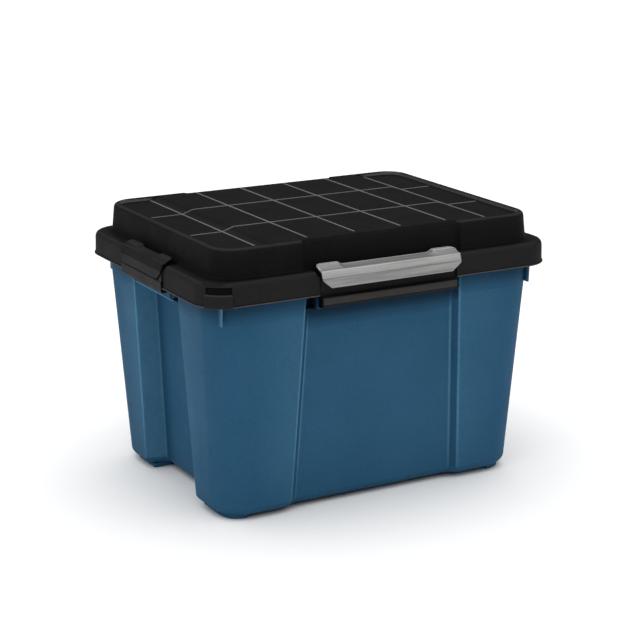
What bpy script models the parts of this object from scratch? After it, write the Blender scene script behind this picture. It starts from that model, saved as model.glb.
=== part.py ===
"""Attached lid tote: a tapered nesting tub, a raised lid and four clip latches.

Metres, +Z up. X runs along the long side, -Y is the front. The origin is at the centre
of the base, on the surface that the corner feet stand on.
"""
from math import cos, pi, sin

import bmesh
import bpy
from mathutils import Matrix, Vector

# ---------------------------------------------------------------- driving dimensions
GAP = 0.0003                 # space kept between pieces that touch

WALL = 0.0030                # tub wall
TUB_HALF_X = 0.2260          # outside half length at the top of the bottom bevel
TUB_HALF_Y = 0.1630          # outside half width at the same height
TUB_CORNER = 0.0450          # plan radius of the corners
BEVEL_Z = 0.0160             # top of the bottom bevel
WALL_TOP_Z = 0.3030          # where the wall turns out into the rim
DRAFT = 0.0600               # outward run of the wall for each metre of height
BASE_Z = 0.0050              # underside of the bottom, above the feet
FLOOR_Z = 0.0082             # inside floor
BASE_INSET = 0.0115          # how far the bottom bevel comes in

END_EDGE_Y = (0.0790, 0.0690)      # half width of the short side's recess, bottom and top
END_DEPTH = 0.0285
END_RUN = 0.0100
SIDE_EDGE_X = (0.1280, 0.1150)     # half width of the long side's sunk panel
PANEL_DEPTH = 0.0085
PANEL_RUN = 0.0090

RIM_HALF_X = 0.2515          # outside of the rim's turned-down lip
RIM_HALF_Y = 0.1860
RIM_CORNER = 0.0410
RIM_TOP_Z = 0.3120
LIP_LOW_Z = 0.2990

FOOT_X = (0.1845, 0.2140)
FOOT_Y = (0.0780, 0.1510)

STRIKE_HALF = (0.1060, 0.0560)     # strike strips of the long and the short sides
STRIKE_LOW_Z = (0.2760, 0.2755)
END_STRIKE_X = 0.2445        # outer face of the short sides' strips
STRIKE_THICK = 0.0030

LID_HALF_X = 0.2600          # lid skirt at its lower edge
LID_HALF_Y = 0.1930
LID_CORNER = 0.0440
LID_LOW_Z = 0.2940
LID_TOP_Z = 0.3634
LID_SEAT_Z = 0.3170          # underside of the lid's shelf
SHEET = 0.0026               # lid sheet

RECESS_HALF = 0.1180         # the dome wall steps back here, behind the long latches
RECESS_DEPTH = 0.0060
TRAY_Z = 0.3583
TRAY_X = (0.1710, 0.2235)
TRAY_SLOPE = 0.0150
RIB_X = (0.0342, 0.1034, 0.1719)
RIB_Y = 0.0601
RIB_HALF = 0.0008
RIB_HIGH = 0.0009

LUG_ARC = (33.0, 79.0)        # degrees round the corner, from the X side

BAY_FLOOR_Z = 0.3194         # floor of the pocket that each latch is hinged in
BAY_GAP = 0.0030             # each side of a latch

AXIS_Z = 0.3265              # hinge axis of every latch
PIN_R = 0.0015
BORE_R = 0.0018
KNUCKLE_R = 0.0040
EAR_THICK = 0.0060
CHEEK = 0.0075

# name, direction out of the side, hinge axis distance from the centre, half width,
# face distance in front of the axis, lowest edge, top of the lower band, how far that
# band stands behind the face
LATCHES = (
    ("front", (0, -1), 0.1790, 0.1030, 0.0220, 0.2790, 0.2925, 0.0042),
    ("rear", (0, 1), 0.1790, 0.1030, 0.0220, 0.2790, 0.2925, 0.0042),
    ("left", (-1, 0), 0.2445, 0.0640, 0.0180, 0.2885, 0.3044, 0.0012),
    ("right", (1, 0), 0.2445, 0.0640, 0.0180, 0.2885, 0.3044, 0.0012),
)

# ---------------------------------------------------------------- scene and materials
for old in list(bpy.data.objects):
    bpy.data.objects.remove(old, do_unlink=True)


def material(name, colour, roughness, metallic=0.0):
    mat = bpy.data.materials.new(name)
    mat.use_nodes = True
    shader = mat.node_tree.nodes["Principled BSDF"]
    shader.inputs["Base Color"].default_value = (*colour, 1.0)
    shader.inputs["Roughness"].default_value = roughness
    shader.inputs["Metallic"].default_value = metallic
    return mat


BLUE = material("tub_blue", (0.035, 0.105, 0.175), 0.45)
BLACK = material("lid_black", (0.016, 0.016, 0.017), 0.42)
LATCH_BLACK = material("latch_black", (0.020, 0.019, 0.018), 0.45)
SILVER = material("grip_silver", (0.36, 0.36, 0.36), 0.38, 0.55)
STEEL = material("pin_steel", (0.55, 0.55, 0.56), 0.30, 1.0)
RUBBER = material("seal_rubber", (0.030, 0.030, 0.030), 0.80)


# ---------------------------------------------------------------- mesh helpers
def make_object(name, verts, faces, mat=None):
    mesh = bpy.data.meshes.new(name)
    mesh.from_pydata([tuple(v) for v in verts], [], faces)
    work = bmesh.new()
    work.from_mesh(mesh)
    bmesh.ops.recalc_face_normals(work, faces=work.faces)
    work.to_mesh(mesh)
    work.free()
    obj = bpy.data.objects.new(name, mesh)
    bpy.context.collection.objects.link(obj)
    if mat:
        mesh.materials.append(mat)
    return obj


def solids(name, stacks, mat=None):
    """One mesh of closed solids, each through a stack of equal rings with capped ends."""
    verts, faces = [], []
    for rings in stacks:
        base, count = len(verts), len(rings[0])
        verts += [p for ring in rings for p in ring]
        faces.append(tuple(range(base, base + count)))
        faces.append(tuple(range(len(verts) - count, len(verts))))
        for level in range(len(rings) - 1):
            low = base + level * count
            for k in range(count):
                after = (k + 1) % count
                faces.append((low + k, low + after, low + count + after, low + count + k))
    return make_object(name, verts, faces, mat)


def loft(name, rings, mat=None):
    return solids(name, [rings], mat)


def hollow_loft(name, rings, mat=None):
    """A ring-shaped solid: the last ring joins back to the first one."""
    count = len(rings[0])
    verts = [p for ring in rings for p in ring]
    faces = []
    for level in range(len(rings)):
        low = level * count
        high = (level + 1) % len(rings) * count
        for k in range(count):
            after = (k + 1) % count
            faces.append((low + k, low + after, high + after, high + k))
    return make_object(name, verts, faces, mat)


def cutter(obj):
    obj.hide_render = True
    obj.display_type = 'WIRE'
    return obj


def boolean(obj, other, operation):
    mod = obj.modifiers.new(other.name, 'BOOLEAN')
    mod.operation = operation
    mod.solver = 'EXACT'
    mod.object = cutter(other)
    return mod


def blocks(name, shapes):
    """One guide mesh holding several separate eight-cornered blocks."""
    return solids(name, [(corners[:4], corners[4:]) for corners in shapes])


def block(low, high):
    (x0, y0, z0), (x1, y1, z1) = low, high
    floor = [(x0, y0, z0), (x1, y0, z0), (x1, y1, z0), (x0, y1, z0)]
    return floor + [(x, y, z1) for x, y, _ in floor]


def smooth(obj, angle=35):
    obj.data.shade_smooth()
    obj.data.set_sharp_from_angle(angle=angle * pi / 180)


# ---------------------------------------------------------------- plan outlines
def turn(before, corner, after, reach, steps=2):
    """Points round a corner, from reach before it to reach after it."""
    p, c, q = Vector(before), Vector(corner), Vector(after)
    a = c + (p - c).normalized() * reach
    b = c + (q - c).normalized() * reach
    points = []
    for k in range(steps + 1):
        s = k / steps
        points.append(tuple(a * (1 - s) ** 2 + c * (2 * s * (1 - s)) + b * s * s))
    return points


def arc(cx, cy, radius, steps=8):
    return [(cx + radius * cos(k / steps * pi / 2), cy + radius * sin(k / steps * pi / 2))
            for k in range(steps + 1)]


def mirrored(quarter, z):
    """The whole ring from its +X +Y quarter, anticlockwise from the +X axis."""
    back = quarter[::-1]
    plan = quarter + [(-x, y) for x, y in back]
    plan += [(-x, -y) for x, y in quarter] + [(x, -y) for x, y in back]
    return [(x, y, z) for x, y in plan]


def blend(pair, t):
    return pair[0] + (pair[1] - pair[0]) * t


def tub_ring(z, inset=0.0, at=None):
    """The tub's outline at a height, taken in by inset. at holds the wall's own height."""
    at = z if at is None else at
    rise = at - BEVEL_Z
    t = rise / (WALL_TOP_Z - BEVEL_Z)
    a = TUB_HALF_X + DRAFT * rise - inset
    b = TUB_HALF_Y + DRAFT * rise - inset
    edge_y = blend(END_EDGE_Y, t) + inset * 0.71
    panel_x = blend(SIDE_EDGE_X, t) + inset * 0.40
    radius = TUB_CORNER - inset
    p0 = (a - END_DEPTH, edge_y - END_RUN)
    p1 = (a, edge_y)
    p4 = (panel_x, b)
    p5 = (panel_x - PANEL_RUN, b - PANEL_DEPTH)
    quarter = turn((p0[0], 0), p0, p1, 0.0030)
    quarter += turn(p0, p1, (a, b - radius), 0.0024)
    quarter += arc(a - radius, b - radius, radius)
    quarter += turn((a - radius, b), p4, p5, 0.0022)
    quarter += turn(p4, p5, (0, p5[1]), 0.0022)
    return mirrored(quarter, z)


def rim_ring(z, inset=0.0):
    """The rim's plain rounded outline, with as many points as the tub's outline."""
    a, b, radius = RIM_HALF_X - inset, RIM_HALF_Y - inset, RIM_CORNER - inset
    quarter = [(a, END_EDGE_Y[1] - END_RUN + d) for d in (-0.002, 0.0, 0.002)]
    quarter += [(a, END_EDGE_Y[1] + d) for d in (-0.002, 0.0, 0.002)]
    quarter += arc(a - radius, b - radius, radius)
    quarter += [(SIDE_EDGE_X[1] + d, b) for d in (0.002, 0.0, -0.002)]
    quarter += [(SIDE_EDGE_X[1] - PANEL_RUN + d, b) for d in (0.002, 0.0, -0.002)]
    return mirrored(quarter, z)


def lid_ring(z, half_x, half_y, radius, recess=0.0):
    """The lid's outline. recess sets the long sides back behind their latches."""
    p4 = (RECESS_HALF, half_y)
    p5 = (RECESS_HALF - 0.0035, half_y - recess)
    quarter = arc(half_x - radius, half_y - radius, radius)
    quarter += turn((half_x - radius, half_y), p4, p5 if recess else (0, half_y), 0.0015)
    quarter += turn(p4 if recess else (half_x - radius, half_y), p5, (0, p5[1]), 0.0015)
    return mirrored(quarter, z)


def on_side(out, u, v, z):
    """A point u along a side and v out from the centre, for the side that faces out."""
    along = (-out[1], out[0])
    return (along[0] * u + out[0] * v, along[1] * u + out[1] * v, z)


def side_block(out, u, v, z):
    """A block on a side, from pairs of limits along it, out from the centre and up."""
    floor = [(u[0], v[0]), (u[1], v[0]), (u[1], v[1]), (u[0], v[1])]
    return [on_side(out, a, b, h) for h in z for a, b in floor]


# ---------------------------------------------------------------- tub
def make_tub():
    rings = [
        tub_ring(BASE_Z, BASE_INSET, BEVEL_Z),
        tub_ring(0.0066, 0.0080, BEVEL_Z),
        tub_ring(0.0108, 0.0030, BEVEL_Z),
        tub_ring(BEVEL_Z),
        tub_ring(WALL_TOP_Z),
        tub_ring(0.3052, -0.0016, WALL_TOP_Z),
        rim_ring(0.3062, STRIKE_THICK + 0.0012),
        rim_ring(0.3050, STRIKE_THICK),
        rim_ring(LIP_LOW_Z, STRIKE_THICK),
        rim_ring(LIP_LOW_Z),
        rim_ring(0.3102),
        rim_ring(0.3114, 0.0007),
        rim_ring(RIM_TOP_Z, 0.0020),
        tub_ring(RIM_TOP_Z, WALL - 0.0018, WALL_TOP_Z),
        tub_ring(0.3102, WALL, WALL_TOP_Z),
        tub_ring(BEVEL_Z + 0.002, WALL, BEVEL_Z + 0.002),
        tub_ring(0.0106, WALL + 0.0028, BEVEL_Z),
        tub_ring(FLOOR_Z, WALL + 0.0080, BEVEL_Z),
    ]
    tub = loft("tub_body", rings, BLUE)
    boolean(tub, make_feet(), 'UNION')
    boolean(tub, make_strips(), 'UNION')
    boolean(tub, make_ribs(), 'UNION')
    boolean(tub, make_webs(), 'UNION')
    smooth(tub)
    return tub


def make_feet():
    """Four flat feet, each reaching up into the bottom."""
    (x0, x1), (y0, y1) = FOOT_X, FOOT_Y
    bend = 0.021
    plan = [(x0, y0), (x1, y0), (x1, y1 - bend), (x1 - 0.0065, y1 - 0.0065), (x1 - bend, y1), (x0, y1)]
    mid_x = sum(x for x, _ in plan) / len(plan)
    mid_y = sum(y for _, y in plan) / len(plan)
    stacks = []
    for sx, sy in ((-1, -1), (-1, 1), (1, -1), (1, 1)):
        rings = []
        for z, scale in ((0.0, 0.93), (0.0015, 1.0), (BASE_Z + 0.0015, 1.0)):
            rings.append([(sx * blend((mid_x, x), scale), sy * blend((mid_y, y), scale), z)
                          for x, y in plan])
        stacks.append(rings)
    return solids("feet_guide", stacks)


# out of the side, half length of its strip, strip's lowest edge, rim, wall behind the ribs
STRIKES = (
    ((0, -1), STRIKE_HALF[0], STRIKE_LOW_Z[0], RIM_HALF_Y, 0.1700),
    ((0, 1), STRIKE_HALF[0], STRIKE_LOW_Z[0], RIM_HALF_Y, 0.1700),
    ((-1, 0), STRIKE_HALF[1], STRIKE_LOW_Z[1], END_STRIKE_X, 0.2126),
    ((1, 0), STRIKE_HALF[1], STRIKE_LOW_Z[1], END_STRIKE_X, 0.2126),
)


def make_strips():
    """The strips that the latches close over: the rim's lip, carried lower."""
    shapes = []
    for out, reach, low, rim, _ in STRIKES:
        high = LIP_LOW_Z + 0.003 if out[0] == 0 else 0.3088
        shapes.append(side_block(out, (-reach, reach), (rim - 0.0028, rim - 0.0002), (low, high)))
    return blocks("strip_guide", shapes)


def make_ribs():
    """Ribs that tie the strips' ends and the corners of the rim to the wall."""
    shapes = []
    for out, reach, low, rim, wall in STRIKES:
        for sign in (-1, 1):
            ends = sorted((sign * (reach - 0.0002), sign * (reach - 0.0022)))
            rib = side_block(out, ends, (wall, rim - 0.0010), (low + 0.0006, 0.3088))
            for k in (0, 1):
                rib[k] = on_side(out, ends[k], wall - 0.0016, low + 0.0006)
            shapes.append(rib)
    for sx in (-1, 1):
        for sy in (-1, 1):
            ends = sorted((sx * 0.2294, sx * 0.2311))
            gusset = side_block((0, sy), ends, (0.1652, 0.1752), (0.2670, 0.3088))
            for k in (0, 1):
                gusset[k] = on_side((0, sy), ends[k], 0.1612, 0.2670)
            for k in (2, 3):
                gusset[k] = on_side((0, sy), ends[3 - k], 0.1734, 0.2670)
            shapes.append(gusset)
    return blocks("rib_guide", shapes)


def make_webs():
    """Small floors that close the pockets beyond the strips' ends from below."""
    long_plan = ((0.1050, 0.1850), (0.1172, 0.1772), (0.1172, 0.1740), (0.1050, 0.1660))
    short_plan = ((0.0550, 0.2440), (0.0716, 0.2412), (0.0716, 0.2370), (0.0550, 0.2110))
    stacks = []
    for out, _, low, _, _ in STRIKES:
        for sign in (-1, 1):
            plan = long_plan if out[0] == 0 else short_plan
            heights = (low + 0.0002, low + 0.0018)
            stacks.append([[on_side(out, sign * u, v, z) for u, v in plan] for z in heights])
    return solids("web_guide", stacks)


# ---------------------------------------------------------------- lid
def make_lid():
    foot_x, foot_y = 0.2362, 0.1780
    x, y, r = LID_HALF_X, LID_HALF_Y, LID_CORNER
    rings = [
        lid_ring(LID_LOW_Z, x, y, r),
        lid_ring(0.2956, x, y, r),
        lid_ring(0.2974, x - 0.0012, y - 0.0012, r - 0.0012),
        lid_ring(0.3172, x - 0.0017, y - 0.0017, r - 0.0017),
        lid_ring(0.3212, x - 0.0026, y - 0.0026, r - 0.0026),
        lid_ring(0.3239, x - 0.0048, y - 0.0046, r - 0.0046),
        lid_ring(0.3251, x - 0.0080, y - 0.0072, r - 0.0070),
        lid_ring(0.3257, foot_x + 0.0026, foot_y + 0.0014, 0.0350, 0.0045),
        lid_ring(0.3268, foot_x + 0.0002, foot_y, 0.0340, RECESS_DEPTH),
        lid_ring(0.3292, foot_x - 0.0006, foot_y - 0.0006, 0.0336, RECESS_DEPTH),
        lid_ring(0.3580, foot_x - 0.0028, foot_y - 0.0032, 0.0324, RECESS_DEPTH),
        lid_ring(0.3610, foot_x - 0.0039, foot_y - 0.0043, 0.0314, RECESS_DEPTH),
        lid_ring(0.3628, foot_x - 0.0059, foot_y - 0.0063, 0.0298, RECESS_DEPTH),
        lid_ring(LID_TOP_Z, foot_x - 0.0082, foot_y - 0.0086, 0.0280, RECESS_DEPTH),
    ]
    inside = [
        lid_ring(TRAY_Z - SHEET, foot_x - 0.0074, foot_y - 0.0078, 0.0290, RECESS_DEPTH),
        lid_ring(TRAY_Z - SHEET - 0.0020, foot_x - 0.0058, foot_y - 0.0062, 0.0300, RECESS_DEPTH),
        lid_ring(0.3270, foot_x - 0.0034, foot_y - 0.0034, 0.0315, RECESS_DEPTH),
        lid_ring(LID_SEAT_Z, foot_x - 0.0030, foot_y - 0.0030, 0.0320, RECESS_DEPTH),
        lid_ring(LID_SEAT_Z, x - 0.0060, y - 0.0054, r - 0.0056),
        lid_ring(0.3145, x - 0.0045, y - 0.0045, r - 0.0045),
        lid_ring(LID_LOW_Z, x - 0.0040, y - 0.0040, r - 0.0040),
    ]
    lid = hollow_cap("lid_shell", rings, inside, BLACK)
    boolean(lid, make_underside(), 'DIFFERENCE')
    boolean(lid, make_trays(), 'DIFFERENCE')
    boolean(lid, make_long_ribs(), 'UNION')
    boolean(lid, make_cross_ribs(), 'UNION')
    boolean(lid, make_bays(), 'DIFFERENCE')
    boolean(lid, make_skirt_gaps(), 'DIFFERENCE')
    boolean(lid, make_ears(), 'UNION')
    boolean(lid, make_pin_holes("ear_hole_guide"), 'DIFFERENCE')
    boolean(lid, make_lugs("lug_back_guide", (-0.0072, -0.0030), (0.3080, 0.3222)), 'UNION')
    boolean(lid, make_lugs("lug_guide", (-0.0030, 0.0020), (LID_LOW_Z + 0.0001, 0.3112)), 'UNION')
    boolean(lid, make_lugs("lug_notch_guide", (-0.0056, 0.0060), (0.3113, 0.3203)), 'DIFFERENCE')
    smooth(lid)
    return lid


def hollow_cap(name, rings, inside, mat):
    """A thin shell, open below: outside rings going up, then inside rings going down."""
    count = len(rings[0])
    verts = [p for ring in rings + inside for p in ring]
    faces = []
    turns = len(rings)
    total = turns + len(inside)
    for level in range(total):
        if level == turns - 1:
            continue
        low = level * count
        high = (level + 1) % total * count
        for k in range(count):
            after = (k + 1) % count
            faces.append((low + k, low + after, high + after, high + k))
    faces.append(tuple(range((turns - 1) * count, turns * count)))
    faces.append(tuple(range(turns * count, (turns + 1) * count)))
    return make_object(name, verts, faces, mat)


def plate_ring(half_x, half_y, radius, z, steps=5):
    quarter = arc(half_x - radius, half_y - radius, radius, steps)
    return mirrored(quarter, z)


def make_underside():
    """The hollow under the raised centre panel."""
    x = TRAY_X[0] - SHEET
    y = 0.1585
    return loft("underside_guide", [
        plate_ring(x, y, 0.012, TRAY_Z - SHEET - 0.004),
        plate_ring(x, y, 0.012, TRAY_Z - SHEET),
        plate_ring(x - TRAY_SLOPE, y, 0.012, LID_TOP_Z - SHEET),
    ])


def make_trays():
    """The sunk end trays, sloped up to the centre panel, with a wall on three sides."""
    tray_y, radius = 0.1645, 0.0200
    stacks = []
    for sx in (-1, 1):
        rings = []
        for z, grow in ((TRAY_Z, 0.0), (LID_TOP_Z, 0.0012), (LID_TOP_Z + 0.002, 0.0016)):
            slope = TRAY_SLOPE * (z - TRAY_Z) / (LID_TOP_Z - TRAY_Z)
            far, wide = TRAY_X[1] + grow, tray_y + grow
            corner = arc(far - radius, wide - radius, radius, 5)
            plan = [(TRAY_X[0] - slope, -wide)] + [(x, -y) for x, y in corner[::-1]]
            plan += corner + [(TRAY_X[0] - slope, wide)]
            rings.append([(sx * x, y, z) for x, y in plan])
        stacks.append(rings)
    return solids("tray_guide", stacks)


def make_long_ribs():
    """Thin ribs along X that dip into the end trays."""
    path = [(0.2185, TRAY_Z), (TRAY_X[0], TRAY_Z), (TRAY_X[0] - TRAY_SLOPE, LID_TOP_Z)]
    path = [(-x, z) for x, z in path] + path[::-1]
    section = [(sy * RIB_HALF, sz * RIB_HIGH) for sy, sz in ((-1, -1), (1, -1), (1, 1), (-1, 1))]
    stacks = []
    for y in (-RIB_Y, RIB_Y):
        stacks.append([[(x, y + dy, z + dz) for dy, dz in section] for x, z in path])
    return solids("long_rib_guide", stacks)


def make_cross_ribs():
    """Thin ribs along Y, the outer ones on the tray floors."""
    shapes = []
    for x, z, reach in zip(RIB_X, (LID_TOP_Z, LID_TOP_Z, TRAY_Z), (0.1600, 0.1600, 0.1625)):
        for sign in (-1, 1):
            low = (sign * x - RIB_HALF, -reach, z - RIB_HIGH * 0.8)
            high = (sign * x + RIB_HALF, reach, z + RIB_HIGH * 0.9)
            shapes.append(block(low, high))
    return blocks("cross_rib_guide", shapes)


def make_bays():
    """Pockets in the shelf that the latches' heads are hinged in."""
    shapes = []
    for _, out, axis, half, *_ in LATCHES:
        back = 0.1716 if out[0] == 0 else 0.2360
        reach = half + BAY_GAP
        shapes.append(side_block(out, (-reach, reach), (back, axis + 0.05), (BAY_FLOOR_Z, 0.3350)))
    return blocks("bay_guide", shapes)


def make_skirt_gaps():
    """Openings in the skirt for the latches' arms."""
    shapes = []
    for _, out, axis, half, *_ in LATCHES:
        reach = half - 0.0004
        shapes.append(side_block(out, (-reach, reach), (axis + 0.0066, axis + 0.05), (0.2800, 0.3300)))
    return blocks("skirt_gap_guide", shapes)


def ear_spots(half):
    """Where a latch's two hinge ears stand along its side."""
    spot = half - 0.0180
    return (-spot, spot)


def make_ears():
    """Upright ears in the bays, with rounded heads round the hinge axis."""
    stacks = []
    for _, out, axis, half, *_ in LATCHES:
        profile = [(axis + KNUCKLE_R + 0.0010, LID_SEAT_Z + 0.0010)]
        profile += [(axis + KNUCKLE_R * cos(k * pi / 8), AXIS_Z + KNUCKLE_R * sin(k * pi / 8))
                    for k in range(11)]
        profile.append((axis - KNUCKLE_R * 0.7071, LID_SEAT_Z + 0.0010))
        for spot in ear_spots(half):
            ends = (spot - EAR_THICK / 2, spot + EAR_THICK / 2)
            stacks.append([[on_side(out, u, v, z) for v, z in profile] for u in ends])
    return solids("ear_guide", stacks)


def round_bar(out, axis, ends, radius):
    """The two end rings of a round bar along a hinge axis."""
    turns = [2 * pi * k / 16 for k in range(16)]
    return [[on_side(out, u, axis + radius * cos(a), AXIS_Z + radius * sin(a)) for a in turns]
            for u in ends]


def make_pin_holes(name, chosen=LATCHES):
    stacks = []
    for _, out, axis, half, *_ in chosen:
        for spot in ear_spots(half):
            stacks.append(round_bar(out, axis, (spot - 0.020, spot + 0.020), BORE_R))
    return solids(name, stacks)


def make_lugs(name, reach, height):
    """Curved blocks on two opposite corners, standing on the skirt's own corner arc."""
    cx, cy = LID_HALF_X - LID_CORNER, LID_HALF_Y - LID_CORNER
    near, far = LID_CORNER + reach[0], LID_CORNER + reach[1]
    low, high = height
    steps = 6
    stacks = []
    for sign in (-1, 1):
        rings = []
        for k in range(steps + 1):
            turned = blend(LUG_ARC, k / steps) * pi / 180
            rings.append([(sign * (cx + r * cos(turned)), sign * (cy + r * sin(turned)), z)
                          for r, z in ((near, low), (near, high), (far, high), (far, low))])
        stacks.append(rings)
    return solids(name, stacks)


def make_seal():
    """A soft ring in the lid that rests on the tub's rim."""
    low, high = RIM_TOP_Z + GAP, LID_SEAT_Z - GAP
    out, into = 0.0032, 0.0076
    rings = []
    for z, inset in ((low, into - 0.0012), (low, out + 0.0012), (high, out), (high, into)):
        rings.append(plate_ring(RIM_HALF_X - inset, RIM_HALF_Y - inset, RIM_CORNER - inset, z, 8))
    seal = hollow_loft("lid_seal", rings, RUBBER)
    smooth(seal)
    return seal


# ---------------------------------------------------------------- latches
def on_axis(obj, out, axis):
    """Puts the object's origin on the latch's hinge axis."""
    origin = Vector(on_side(out, 0.0, axis, AXIS_Z))
    obj.data.transform(Matrix.Translation(-origin))
    obj.location = origin
    return obj


def prism(name, out, stations, mat=None):
    """A solid through profiles of (v, z) points at stations along a side."""
    rings = [[on_side(out, u, v, z) for v, z in profile] for u, profile in stations]
    return loft(name, rings, mat)


def make_arm(name, out, axis, half, face, low, band_top, band_back):
    """The moulded arm: a top plate, a thin wall and a thick lower band."""
    wall, skin = axis + 0.0076, 0.0028
    front = axis + face - 0.0042
    band = axis + face - band_back
    top_high = AXIS_Z - 0.0029
    top_low = BAY_FLOOR_Z + 0.0006
    shape = [
        (wall, low + 0.0015), (wall + 0.0012, low), (band - 0.0030, low), (band, low + 0.0030),
        (band, band_top - 0.0022), (band - 0.0022, band_top), (wall + skin, band_top),
        (wall + skin, top_low - 0.0010), (wall + skin + 0.0010, top_low), (front - 0.0010, top_low),
        (front, top_low + 0.0012), (front - 0.0006, top_high), (axis + 0.0060, top_high),
        (axis + 0.0060, top_low), (wall - 0.0004, top_low), (wall, top_low - 0.0010),
    ]
    stations = []
    middle = wall + skin / 2
    reach = half - 0.0012
    for u, scale in ((-reach, 0.952), (0.0012 - reach, 1.0), (reach - 0.0012, 1.0), (reach, 0.952)):
        stations.append((u, [(blend((middle, v), scale), z) for v, z in shape]))
    arm = prism(name, out, stations, LATCH_BLACK)
    latch = ((name, out, axis, half),)
    on_axis(arm, out, axis)
    boolean(arm, make_cheeks(name + "_cheek_guide", out, axis, half), 'UNION')
    boolean(arm, make_pin_holes(name + "_bore_guide", latch), 'DIFFERENCE')
    smooth(arm)
    return arm


def make_cheeks(name, out, axis, half):
    """Knuckles either side of each ear, reaching back from the top plate to the axis."""
    profile = [(axis - KNUCKLE_R * sin(k * pi / 6), AXIS_Z + KNUCKLE_R * cos(k * pi / 6))
               for k in range(7)]
    profile += [(axis + v, AXIS_Z + z) for v, z in (
        (0.0030, -KNUCKLE_R), (0.0075, -0.0052), (0.0090, -0.0035), (0.0070, 0.0010), (0.0030, KNUCKLE_R))]
    near = EAR_THICK / 2 + 0.0005
    stacks = []
    for spot in ear_spots(half):
        for side in (-1, 1):
            ends = (spot + side * near, spot + side * (near + CHEEK))
            stacks.append([[on_side(out, u, v, z) for v, z in profile] for u in ends])
    return solids(name, stacks)


def make_grip(name, out, axis, half, face, mat):
    """The grip plate: a dished top that rises over the knuckles, a ridge and a face."""
    thick = 0.0018
    front = axis + face
    bottom = 0.3052

    def profile(raise_by, lowest, inset):
        e = raise_by
        outer = [
            (axis - 0.0022, AXIS_Z + 0.0020 + 0.0037 * e),
            (axis - 0.0010, AXIS_Z + 0.0027 + 0.0036 * e),
            (axis + 0.0040, AXIS_Z + 0.0010 + 0.0050 * e),
            (axis + 0.0095, AXIS_Z + 0.0000 + 0.0032 * e),
            (front - 0.0075, AXIS_Z + 0.0004 + 0.0012 * e),
            (front - 0.0052, AXIS_Z + 0.0010),
            (front - 0.0036, AXIS_Z + 0.0004),
            (front - 0.0008, AXIS_Z - 0.0068),
            (front, AXIS_Z - 0.0086),
            (front, max(lowest, bottom) + 0.0004),
        ]
        inner = [
            (front - thick, max(lowest, bottom)),
            (front - thick, AXIS_Z - 0.0090),
            (front - thick - 0.0026, AXIS_Z - 0.0022),
            (front - 0.0075, AXIS_Z - 0.0012 + 0.0010 * e),
            (axis + 0.0095, AXIS_Z - 0.0018 + 0.0030 * e),
            (axis + 0.0045, AXIS_Z - 0.0010 + 0.0052 * e),
            (axis - 0.0010, AXIS_Z + 0.0008 + 0.0036 * e),
            (axis - 0.0022, AXIS_Z + 0.0004 + 0.0038 * e),
        ]
        return [(v - inset, z) for v, z in outer + inner]

    quarter = [
        (0.0000, 1.0, 0.3170, 0.0010),
        (0.0012, 1.0, 0.3150, 0.0003),
        (0.0030, 1.0, 0.3128, 0.0),
        (0.0080, 1.0, 0.3085, 0.0),
        (0.0130, 1.0, bottom, 0.0),
        (0.0320, 1.0, bottom, 0.0),
        (0.0345, 0.75, bottom, 0.0),
        (0.0380, 0.20, bottom, 0.0),
        (0.0405, 0.0, bottom, 0.0),
    ]
    stations = [(d - half, profile(e, low, inset)) for d, e, low, inset in quarter]
    stations += [(half - d, profile(e, low, inset)) for d, e, low, inset in quarter[::-1]]
    grip = prism(name, out, stations, mat)
    on_axis(grip, out, axis)
    smooth(grip)
    return grip


def make_pins(name, out, axis, half):
    """One short steel pin through each ear and the knuckles beside it."""
    reach = EAR_THICK / 2 + CHEEK - 0.0001
    for spot, end in zip(ear_spots(half), ("a", "b")):
        pin = loft(name + "_pin_" + end, round_bar(out, axis, (spot - reach, spot + reach), PIN_R), STEEL)
        origin = Vector(on_side(out, spot, axis, AXIS_Z))
        pin.data.transform(Matrix.Translation(-origin))
        pin.location = origin
        smooth(pin)


make_tub()
make_lid()
make_seal()
for side, out, axis, half, face, low, band_top, band_back in LATCHES:
    make_arm(side + "_latch_arm", out, axis, half, face, low, band_top, band_back)
    make_grip(side + "_latch_grip", out, axis, half, face, SILVER if out[0] == 0 else LATCH_BLACK)
    make_pins(side + "_latch", out, axis, half)
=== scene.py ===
"""The visible shape and materials of the latching lid tote, built round its CAD frame. Metres, +Z up."""
from math import cos, pi, radians, sin

import bmesh
import bpy
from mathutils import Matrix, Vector


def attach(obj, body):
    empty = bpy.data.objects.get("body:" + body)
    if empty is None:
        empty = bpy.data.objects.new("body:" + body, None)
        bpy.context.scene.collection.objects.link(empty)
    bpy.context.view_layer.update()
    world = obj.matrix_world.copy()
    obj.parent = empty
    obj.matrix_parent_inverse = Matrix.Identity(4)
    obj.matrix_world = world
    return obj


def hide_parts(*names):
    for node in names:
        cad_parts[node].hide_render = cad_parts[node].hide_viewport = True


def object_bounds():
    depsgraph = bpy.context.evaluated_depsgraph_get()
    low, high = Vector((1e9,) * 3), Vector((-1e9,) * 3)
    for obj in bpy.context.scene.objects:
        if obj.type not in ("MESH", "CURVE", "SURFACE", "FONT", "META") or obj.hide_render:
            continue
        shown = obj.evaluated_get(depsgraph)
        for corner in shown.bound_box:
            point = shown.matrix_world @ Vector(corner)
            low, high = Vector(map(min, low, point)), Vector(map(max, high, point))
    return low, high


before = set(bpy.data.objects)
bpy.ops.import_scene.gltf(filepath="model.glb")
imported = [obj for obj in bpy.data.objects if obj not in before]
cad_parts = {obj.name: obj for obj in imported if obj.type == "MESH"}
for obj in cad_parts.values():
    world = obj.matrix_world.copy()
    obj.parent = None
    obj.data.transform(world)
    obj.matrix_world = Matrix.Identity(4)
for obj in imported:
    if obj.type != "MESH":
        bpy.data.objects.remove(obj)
CAD_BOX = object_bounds()

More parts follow.
